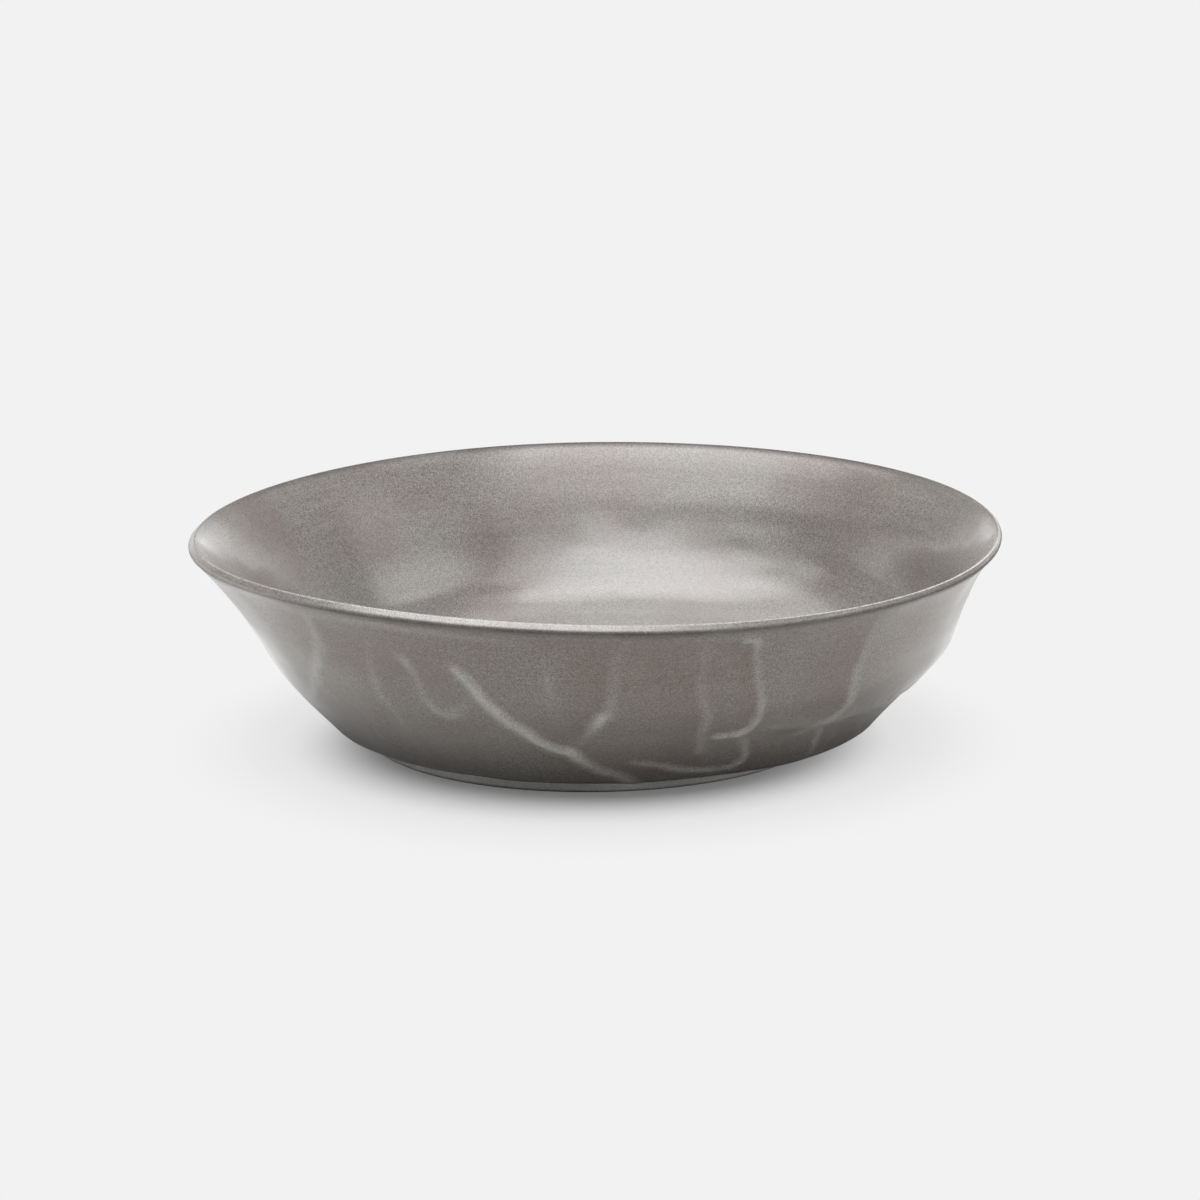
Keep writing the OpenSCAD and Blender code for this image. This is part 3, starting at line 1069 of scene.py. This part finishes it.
@dataclass
class BowlBody:
    """The thrown body with its ridges, one skin under one glaze."""

    section: BowlSection
    ridge_layers: tuple[tuple[Ridge, ...], ...] = (LONG_RIDGES, BRANCH_RIDGES, FAINT_RIDGES)
    ridge_melt: float = 0.3 * MM
    segments: int = 600
    # The ridges' lines wander a little, and the glaze on them is thin in patches
    ridge_wander: float = 0.7 * MM
    wander_scale: float = 130.0
    side_turn: float = 0.4 * MM
    crest_reach: float = 1.1
    thin_reach: Point = (1.15, 0.2)
    rust_gain: float = 4.0
    patch_scale: float = 75.0
    patch_strength: float = 0.25
    patch_level: float = 0.95
    # Shallow dents, the rings of turning inside and a bead of glaze under the lip
    dent_depth: float = 0.45 * MM
    dent_scale: float = 26.0
    inside_dents: float = 0.6
    ring_depth: float = 0.24 * MM
    ring_scale: Triple = (13.0, 13.0, 75.0)
    bead_rise: float = 0.25 * MM
    # One, two and three waves round the rim, by their cosine and sine parts
    rim_tilt: Triple = (0.20 * MM, -0.66 * MM, 0.0)
    rim_sag: Triple = (0.48 * MM, -1.16 * MM, 0.0)
    rim_wave: Triple = (-0.04 * MM, -0.54 * MM, 0.0)
    sag_from: float = 30.0 * MM
    # The base edge dips to one side
    base_tilt: float = -0.45 * MM
    tilt_radii: Point = (86.0 * MM, 98.0 * MM)
    tilt_heights: Point = (34.0 * MM, 10.0 * MM)
    # Height and lean toward +X there, in millimetres
    lean: tuple[Point, ...] = (
        (6, 2.1), (25, 2.3), (36, 3.9), (44, 3.1), (54, 1.4), (64, 0.0), (76, -0.6),
    )
    lean_reach: float = 5.0 * MM
    # On the right the lip is cut thinner and the rim flares
    lip_trim: float = 1.2 * MM
    rim_flare: float = 0.8 * MM
    trim_from: Point = (20.0 * MM, 120.0 * MM)
    flare_from: float = 48.0 * MM
    # The pools and painted shade under the outer edge fade at the far left, the thin glaze and painted glint
    # on the inner edge toward the back, and the pools and painted shade inside the far rim toward the front
    edge_starts: Point = (-125.0 * MM, -90.0 * MM)
    edge_left: float = 0.3
    thin_brim_and_glint_ends: Point = (20.0 * MM, -60.0 * MM)
    thin_brim_and_glint_levels: Point = (0.35, 1.0)
    pool_and_shade_starts: Point = (20.0 * MM, 110.0 * MM)
    pool_and_shade_level: float = 1.0

    def ridge_helper(self, name: str, ridges: Sequence[Ridge]) -> Object:
        """Makes the helper that holds the centre lines of some ridges on the wall."""
        points = []
        edges = []
        marks = {mark: [] for mark in (*RIDGE_MARKS, Mark.SIDE)}
        for ridge in ridges:
            path = ridge.points()
            places = [self.section.on_wall(angle, percent) for angle, percent, _ in path]
            first = len(points)
            for i, (place, out) in enumerate(places):
                strength = path[i].z
                ahead = places[min(i + 1, len(places) - 1)][0] - places[max(i - 1, 0)][0]
                points.append(place)
                found = (
                    ridge.width * MM,
                    ridge.rise * MM * strength,
                    strength,
                    ridge.left,
                    ridge.right,
                    ridge.rust * min(1.0, self.rust_gain * strength),
                    ridge.reach * MM,
                    out.cross(ahead).normalized(),
                )
                for values, value in zip(marks.values(), found):
                    values.append(value)
            edges += [(i, i + 1) for i in range(first, len(points) - 1)]
        return helper_mesh(name, points, edges, marks)

    def layer_names(self) -> list[str]:
        """Returns the names of the inputs that take the ridges' layers."""
        return [f"Ridge Lines {i + 1}" for i in range(len(self.ridge_layers))]

    def raise_ridges(
        self, board: NodeBoard, lines: Value, seen_from: Value, outside: Value
    ) -> tuple[NodeSocket, NodeSocket, NodeSocket]:
        """Works out what one layer of ridges does at a point of the wall.

        Args:
            board: The tree's nodes.
            lines: The object that holds the ridges' centre lines.
            seen_from: The point, moved a little so that the ridges wander.
            outside: How far the point belongs to the outside.

        Returns:
            The rise, how thin the glaze is and how brown it is.
        """
        lines = board.node("GeometryNodeObjectInfo", {"Object": lines}).outputs["Geometry"]
        closest = board.node("GeometryNodeProximity", {0: lines, 2: seen_from}, target_element="EDGES")
        gap = closest.outputs["Distance"]
        nearest = board.node("GeometryNodeSampleNearest", {0: lines, 1: seen_from}).outputs[0]
        width, rise, pale, left, right, rust, reach = (
            board.sample(lines, board.mark(mark), nearest) for mark in RIDGE_MARKS
        )
        side = board.sample(lines, board.mark(Mark.SIDE, "FLOAT_VECTOR"), nearest, "FLOAT_VECTOR")
        foot = board.sample(lines, board.place(), nearest, "FLOAT_VECTOR")
        aside = board.measure("DOT_PRODUCT", board.vector("SUBTRACT", seen_from, foot), side)
        on_right = board.ramp(aside, -self.side_turn, self.side_turn)
        spread = board.ramp(on_right, 0.0, 1.0, left, right)
        away = board.math("DIVIDE", gap, board.times(width, spread, 0.5))
        crest = board.times(board.ramp(away, self.crest_reach, 0.0), rise, outside)
        thin = board.times(board.ramp(away, *self.thin_reach), pale, outside)
        brown = board.times(board.ramp(gap, reach, 0.0), board.rest(on_right), rust, outside)
        return crest, thin, brown

    def rim_glaze_and_light(self, board: NodeBoard) -> NodeSocket:
        """Returns the glaze and painted light on the rim: above zero thin and pale with a painted glint,
        below zero dark where the glaze pools, with painted shade.
        """
        x, y, _ = board.split(board.place())
        # Painted shade under the outer edge, with pooling glaze
        outer = board.times(board.mark(Mark.EDGE), board.ramp(x, *self.edge_starts, self.edge_left, 1.0))
        # Painted glint on the inner edge, with thin glaze, strongest at the front right
        brim = board.times(
            board.mark(Mark.BRIM),
            board.ramp(y, *self.thin_brim_and_glint_ends),
            board.ramp(x, 0.0, self.section.rim_radius, *self.thin_brim_and_glint_levels),
        )
        # Painted shade inside the far rim, with pooling glaze
        pool = board.times(board.mark(Mark.POOL), board.ramp(y, *self.pool_and_shade_starts, 0.0, -self.pool_and_shade_level))
        return board.add(outer, brim, pool)

    def lean_curve(self, board: NodeBoard, height: Value) -> NodeSocket:
        """Returns how far the wall leans toward +X at a height."""
        top = self.section.rim_height / MM
        share = board.times(height, 1 / self.section.rim_height)
        curve = board.node("ShaderNodeFloatCurve", {"Value": share})
        points = curve.mapping.curves[0].points
        levels = [(z / top, 0.5 + 0.5 * lean * MM / self.lean_reach) for z, lean in self.lean]
        points[0].location = (0.0, levels[0][1])
        points[1].location = (1.0, levels[-1][1])
        for level in levels[:-1]:
            points.new(*level)
        curve.mapping.update()
        return board.math("MULTIPLY_ADD", curve.outputs[0], 2 * self.lean_reach, -self.lean_reach)

    def sizes(self) -> dict[str, Value]:
        """Returns the sizes that the tree takes as inputs, by name."""
        return {
            "Ridge Wander": self.ridge_wander,
            "Dent Depth": self.dent_depth,
            "Dent Scale": self.dent_scale,
            "Ring Depth": self.ring_depth,
            "Bead Rise": self.bead_rise,
            "Rim Tilt": self.rim_tilt,
            "Rim Sag": self.rim_sag,
            "Rim Wave": self.rim_wave,
            "Lip Trim": self.lip_trim,
            "Rim Flare": self.rim_flare,
        }

    def lay_ridges(
        self, board: NodeBoard, given: dict[str, NodeSocket], skin: Value
    ) -> tuple[NodeSocket, NodeSocket]:
        """Lays the layers of ridges on the wall and marks the glaze over them.

        Args:
            board: The tree's nodes.
            given: The tree's inputs by name.
            skin: The turned skin.

        Returns:
            The marked skin, and how far the ridges rise.
        """
        place = board.place()
        outside = board.mark(Mark.OUTSIDE)
        stray = board.vector("SUBTRACT", board.noise(place, self.wander_scale).outputs[1], (0.5, 0.5, 0.5))
        stray = board.scaled(stray, board.times(given["Ridge Wander"], SWING_GAIN))
        seen_from = board.vector("ADD", place, stray)
        crest, thin, brown = 0.0, 0.0, 0.0
        for name in self.layer_names():
            rise, pale, rust = self.raise_ridges(board, given[name], seen_from, outside)
            crest = board.math("SMOOTH_MAX", crest, rise, self.ridge_melt)
            thin = board.math("MAXIMUM", thin, pale)
            brown = board.math("MAXIMUM", brown, rust)
        patches = board.swing(place, self.patch_scale)
        patchy = board.math("MULTIPLY_ADD", patches, self.patch_strength, self.patch_level)
        soft = board.node("GeometryNodeBlurAttribute", {0: board.times(thin, patchy), "Iterations": 1})
        skin = board.store(skin, Mark.RIDGE, soft.outputs[0])
        skin = board.store(skin, Mark.RUST, brown)
        return skin, board.times(crest, patchy, outside)

    def lift(self, board: NodeBoard, given: dict[str, NodeSocket], crest: Value) -> NodeSocket:
        """Returns how far ridges and bead lift the skin, less its dents and turning rings."""
        place = board.place()
        inside = board.mark(Mark.INSIDE)
        dented = board.math("MULTIPLY_ADD", inside, self.inside_dents, board.mark(Mark.OUTSIDE))
        dents = board.times(board.swing(place, given["Dent Scale"], 1.0), given["Dent Depth"], dented)
        drawn = board.vector("MULTIPLY", place, self.ring_scale)
        rings = board.times(board.swing(drawn, 1.0), given["Ring Depth"], inside)
        bead = board.times(board.math("MINIMUM", board.mark(Mark.EDGE), 0.0), given["Bead Rise"], -1.0)
        return board.add(crest, bead, board.times(board.add(dents, rings), -1.0))

    def warp(self, board: NodeBoard, given: dict[str, NodeSocket]) -> NodeSocket:
        """Returns how far the hand moved a point: rim waves, base tilt, lean and the lip's cut."""
        place = board.place()
        x, y, height = board.split(place)
        turn = board.math("ARCTAN2", x, board.times(y, -1.0))
        rise = 0.0
        for waves, name in enumerate(("Rim Tilt", "Rim Sag", "Rim Wave"), start=1):
            angle = board.times(turn, float(waves))
            by_cos, by_sin, _ = board.split(given[name])
            rise = board.add(
                rise,
                board.times(board.math("COSINE", angle), by_cos),
                board.times(board.math("SINE", angle), by_sin),
            )
        rise = board.times(rise, board.ramp(height, self.sag_from, self.section.rim_height))
        radius = board.math("SQRT", board.add(board.times(x, x), board.times(y, y)))
        dip = board.times(
            board.math("SINE", turn),
            board.ramp(radius, *self.tilt_radii),
            board.ramp(height, *self.tilt_heights),
            board.times(board.mark(Mark.OUTSIDE), self.base_tilt),
        )
        right = board.ramp(x, *self.trim_from)
        # The cut goes square into a lip that slopes at 45 degrees, as far inward as upward
        trim = board.times(board.mark(Mark.TRIM), right, given["Lip Trim"], math.sqrt(0.5))
        near_rim = board.ramp(height, self.flare_from, self.section.rim_height)
        flare = board.times(near_rim, right, given["Rim Flare"])
        across = board.vector("NORMALIZE", board.flat(place))
        return board.vector(
            "ADD",
            board.join(self.lean_curve(board, height), 0.0, board.add(rise, dip, trim)),
            board.scaled(across, board.math("SUBTRACT", flare, trim)),
        )

    def build_tree(self, turning: NodeTree) -> NodeTree:
        """Builds the tree that turns the body, raises the ridges and warps the whole by hand.

        Args:
            turning: The group that turns a section.

        Returns:
            The geometry tree.
        """
        board, given = open_tree(
            "thrown_body",
            [
                *TURNED_INPUTS,
                *((name, "NodeSocketObject") for name in self.layer_names()),
                *size_sockets(self.sizes()),
                ("Glaze", "NodeSocketMaterial"),
            ],
        )
        skin, crest = self.lay_ridges(board, given, turned_skin(board, given, turning))
        normal = board.node("GeometryNodeInputNormal").outputs[0]
        offset = board.scaled(normal, self.lift(board, given, crest))
        skin = board.shape("SetPosition", skin, Offset=offset)
        skin = board.shape("SetPosition", skin, Offset=self.warp(board, given))
        skin = board.store(skin, Mark.EDGE, self.rim_glaze_and_light(board))
        return close_skin(board, skin, given["Glaze"])

    def build(self, turning: NodeTree, glaze: Material) -> Object:
        """Builds the body and sets it in the frame.

        Args:
            turning: The group that turns a section.
            glaze: The finish.

        Returns:
            The piece.
        """
        rings = self.section.rings()
        section = section_helper("bowl_section", rings)
        layers = zip(self.layer_names(), self.ridge_layers)
        lines = {name: self.ridge_helper(name, layer) for name, layer in layers}
        values = {
            **lines,
            **self.sizes(),
            "Section": section,
            "Rings": len(rings),
            "Segments": self.segments,
            "Glaze": glaze,
        }
        piece = grow("glazed_bowl", self.build_tree(turning), values, (section, *lines.values()))
        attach(piece, BODY)
        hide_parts("bowl_body", "raised_ridges")
        return piece


@dataclass
class FootRing:
    """The low ring of bare clay that the bowl stands on."""

    radius: float
    height: float
    width: float = 8.0 * MM
    edge_round: float = 1.4 * MM
    edge_steps: int = 6
    segments: int = 360
    spacing: float = 0.7 * MM
    wobble: float = 0.12 * MM
    wobble_scale: float = 60.0
    offset: Triple = (-1.0 * MM, -2.5 * MM, 0.0)

    def rings(self) -> list[Ring]:
        """Returns the closed section of the ring, from its top inside edge round to it again."""
        inner = self.radius - self.width
        line = [Vector((inner, self.height))]
        for centre, start in ((inner + self.edge_round, 180), (self.radius - self.edge_round, 270)):
            corner = Vector((centre, self.edge_round))
            line += arc(corner, self.edge_round, start, start + 90, self.edge_steps)
        line += [Vector((self.radius, self.height)), Vector((inner, self.height))]
        return [Ring(p.x, p.y, outside=min(1.0, p.y / self.edge_round)) for p in evenly(line, self.spacing)]

    def sizes(self) -> dict[str, Value]:
        """Returns the sizes that the tree takes as inputs, by name."""
        return {"Wobble": self.wobble, "Wobble Scale": self.wobble_scale, "Offset": self.offset}

    def build_tree(self, turning: NodeTree) -> NodeTree:
        """Builds the tree that turns the ring and leaves the marks of the hand on its flanks.

        Args:
            turning: The group that turns a section.

        Returns:
            The geometry tree.
        """
        inputs = [*TURNED_INPUTS, *size_sockets(self.sizes()), ("Clay", "NodeSocketMaterial")]
        board, given = open_tree("turned_foot", inputs)
        skin = turned_skin(board, given, turning)
        sway = board.swing(board.place(), given["Wobble Scale"])
        sway = board.times(sway, given["Wobble"], board.mark(Mark.OUTSIDE))
        normal = board.node("GeometryNodeInputNormal").outputs[0]
        move = board.vector("ADD", board.scaled(board.flat(normal), sway), given["Offset"])
        skin = board.shape("SetPosition", skin, Offset=move)
        return close_skin(board, skin, given["Clay"])

    def build(self, turning: NodeTree, clay: Material) -> Object:
        """Builds the ring and sets it in the frame.

        Args:
            turning: The group that turns a section.
            clay: The finish.

        Returns:
            The piece.
        """
        rings = self.rings()
        section = section_helper("foot_section", rings)
        values = {
            **self.sizes(),
            "Section": section,
            "Rings": len(rings),
            "Segments": self.segments,
            "Clay": clay,
        }
        piece = grow("clay_foot_ring", self.build_tree(turning), values, (section,))
        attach(piece, BODY)
        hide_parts("foot_ring")
        return piece


# Studio


@dataclass(frozen=True)
class SoftWindow:
    """A soft rectangular light far overhead, placed by the slopes of the rays that reach it."""

    centre: Point
    half_size: Point
    softness: Point
    radiance: float


@dataclass
class Studio:
    """Pale floor, soft light from overhead windows and the camera."""

    floor_radius: float = 8.0
    floor_sides: int = 96
    floor_grey: float = 0.50
    backdrop_grey: float = 0.887
    # What the camera sees of the floor: the bowl's shadow, deepened by painted shade toward the bowl, and a
    # faint ring of painted shade beyond it
    shadow_centre: Triple = (-0.003, -0.018, 0.0)
    shadow_radii: Point = (0.073, 0.114)
    shadow_lit: float = 0.14
    halo_shade: float = 0.20
    halo_shade_radii: Point = (0.105, 0.165)
    # What the glaze mirrors of the floor
    mirrored_centre: Triple = (0.0, -0.08, 0.0)
    mirrored_radii: Point = (0.10, 0.22)
    # Light from overhead, and along the horizon by side
    ambient: float = 0.25
    horizon_front: float = 0.06
    horizon_back: float = 1.6
    horizon_left: float = 3.4
    horizon_right: float = 4.6
    horizon_turn: float = 0.2
    horizon_reach: Point = (0.31, 0.46)
    reach_turn: float = 0.5
    lowest_climb: float = 0.02
    windows: tuple[SoftWindow, ...] = (
        SoftWindow((-0.26, 0.45), (0.54, 0.75), (0.15, 0.10), 1.15),
        SoftWindow((-0.52, -1.00), (0.80, 0.70), (0.12, 0.10), 1.15),
        SoftWindow((-0.76, -0.45), (1.10, 0.58), (0.20, 0.08), 0.90),
        SoftWindow((-0.25, -0.47), (0.53, 0.79), (0.40, 0.08), 1.40),
        SoftWindow((0.53, -0.81), (0.19, 0.46), (0.12, 0.12), 1.40),
        SoftWindow((1.38, -0.12), (0.54, 0.50), (0.16, 0.10), 1.40),
    )
    camera_distance: float = 2.0
    camera_elevation: float = 14.25
    camera_roll: float = -0.71
    camera_pivot_height: float = 0.040
    camera_target: Triple = (0.00096, 0.0, 0.0489)
    focal_length: float = 162.4
    sensor_width: float = 36.0

    def build_floor(self) -> None:
        """Lays the pale floor."""
        mesh = bpy.data.meshes.new("studio_floor")
        sides = range(self.floor_sides)
        rim = [heading(360 * i / self.floor_sides) * self.floor_radius for i in sides]
        mesh.from_pydata([(p.x, p.y, 0.0) for p in rim], [], [list(sides)])
        floor = add_object("studio_floor", mesh)
        mesh.materials.append(self.floor_paint())

    def floor_paint(self) -> Material:
        """Builds the floor's matte paint, seen brighter by camera and reflections away from the bowl."""
        material, board, shader, place = open_material("studio_floor_paint")
        shader.inputs["Base Color"].default_value = rgba((self.floor_grey,) * 3)
        shader.inputs["Roughness"].default_value = 1.0
        shader.inputs["Specular IOR Level"].default_value = 0.0
        glow = board.node("ShaderNodeEmission", {"Strength": self.backdrop_grey})
        # Painted shade: toward the bowl the camera sees more of the darker matte floor
        radius = board.measure("DISTANCE", place, self.shadow_centre)
        cleared = board.add(
            board.ramp(radius, *self.shadow_radii, self.shadow_lit, 1.0 - self.halo_shade),
            board.ramp(radius, *self.halo_shade_radii, 0.0, self.halo_shade),
        )
        rays = board.node("ShaderNodeLightPath").outputs
        away = board.measure("DISTANCE", place, self.mirrored_centre)
        mirrored = board.times(board.ramp(away, *self.mirrored_radii), rays["Is Glossy Ray"])
        share = board.math("MAXIMUM", board.times(cleared, rays["Is Camera Ray"]), mirrored)
        mix = board.node("ShaderNodeMixShader", {0: share, 1: shader.outputs[0], 2: glow.outputs[0]})
        board.feed(material.node_tree.nodes["Material Output"].inputs["Surface"], mix.outputs[0])
        return material

    def window_level(self, board: NodeBoard, slopes: Sequence[Value], window: SoftWindow) -> NodeSocket:
        """Returns the light that a window sends along the rays.

        Args:
            board: The world's nodes.
            slopes: The rays' slopes across and along the room.
            window: The window.

        Returns:
            Its radiance, fading at the edges.
        """
        level = window.radiance
        for slope, centre, half, soft in zip(slopes, window.centre, window.half_size, window.softness):
            off = board.math("ABSOLUTE", board.add(slope, -centre))
            level = board.times(level, board.ramp(off, half + soft, half - soft))
        return level

    def horizon_level(self, board: NodeBoard, ray: Value) -> NodeSocket:
        """Returns how bright the room is along the horizon, toward the side that a ray goes to."""
        x, y, _ = board.split(board.vector("NORMALIZE", board.flat(ray)))
        level = 0.0
        sides = ((x, self.horizon_right, self.horizon_left), (y, self.horizon_back, self.horizon_front))
        for part, ahead, behind in sides:
            side = board.ramp(part, -self.horizon_turn, self.horizon_turn, behind, ahead)
            level = board.add(level, board.times(part, part, side))
        return level

    def build_world(self) -> None:
        """Builds the light: a dim room, a pale horizon and the windows."""
        world = bpy.data.worlds.new("studio_light")
        world.use_nodes = True
        bpy.context.scene.world = world
        board = NodeBoard(world.node_tree)
        background = world.node_tree.nodes["Background"]
        ray = board.node("ShaderNodeTexCoord").outputs["Generated"]
        x, y, z = board.split(ray)
        climb = board.math("MAXIMUM", z, self.lowest_climb)
        slopes = [board.math("DIVIDE", x, climb), board.math("DIVIDE", y, climb)]
        reach = board.ramp(x, -self.reach_turn, self.reach_turn, *self.horizon_reach)
        level = board.ramp(z, 0.0, reach, self.horizon_level(board, ray), self.ambient)
        for window in self.windows:
            level = board.add(level, self.window_level(board, slopes, window))
        seen = board.node("ShaderNodeLightPath").outputs["Is Camera Ray"]
        level = board.add(
            board.times(seen, self.backdrop_grey),
            board.times(board.rest(seen), level),
        )
        board.feed(background.inputs["Color"], rgba((1.0, 1.0, 1.0)))
        board.feed(background.inputs["Strength"], level)

    def build_camera(self) -> None:
        """Sets the camera at the photograph's viewing angle."""
        data = bpy.data.cameras.new("studio_camera")
        data.sensor_width = self.sensor_width
        data.lens = self.focal_length
        camera = add_object("studio_camera", data)
        way = heading(self.camera_elevation)
        place = Vector((0.0, -way.x, way.y)) * self.camera_distance
        place.z += self.camera_pivot_height
        aim = (Vector(self.camera_target) - place).to_track_quat("-Z", "Y").to_matrix().to_4x4()
        roll = Matrix.Rotation(math.radians(self.camera_roll), 4, "Z")
        camera.matrix_world = Matrix.Translation(place) @ aim @ roll
        bpy.context.scene.camera = camera

    def build(self) -> None:
        """Builds the floor, the light and the camera."""
        self.build_floor()
        self.build_world()
        self.build_camera()
        bpy.context.scene.view_settings.view_transform = "Standard"


def main() -> None:
    """Builds the bowl's pieces and the studio."""
    logging.basicConfig(level=logging.INFO, format="%(message)s")
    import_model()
    _, body_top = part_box("bowl_body")
    _, foot_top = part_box("foot_ring")
    # Room that the warped rim needs inside the solids' box, upward and outward
    rim_rise = 2.38 * MM
    rim_spread = 0.9 * MM

    grain = FiredGrain().build()
    glaze = GreyGlaze().build(grain)
    clay = BareClay().build(grain)
    turning = build_turning_group()
    section = BowlSection(
        rim_radius=body_top.x - rim_spread,
        rim_height=body_top.z - rim_rise,
        foot_radius=foot_top.x,
        foot_height=foot_top.z,
    )
    pieces = (
        BowlBody(section).build(turning, glaze),
        FootRing(foot_top.x, foot_top.z).build(turning, clay),
    )
    for piece in pieces:
        LOG.info("%s: %d faces, %d points", piece.name, len(piece.data.polygons), len(piece.data.vertices))
    Studio().build()


if __name__ == "__main__":
    main()
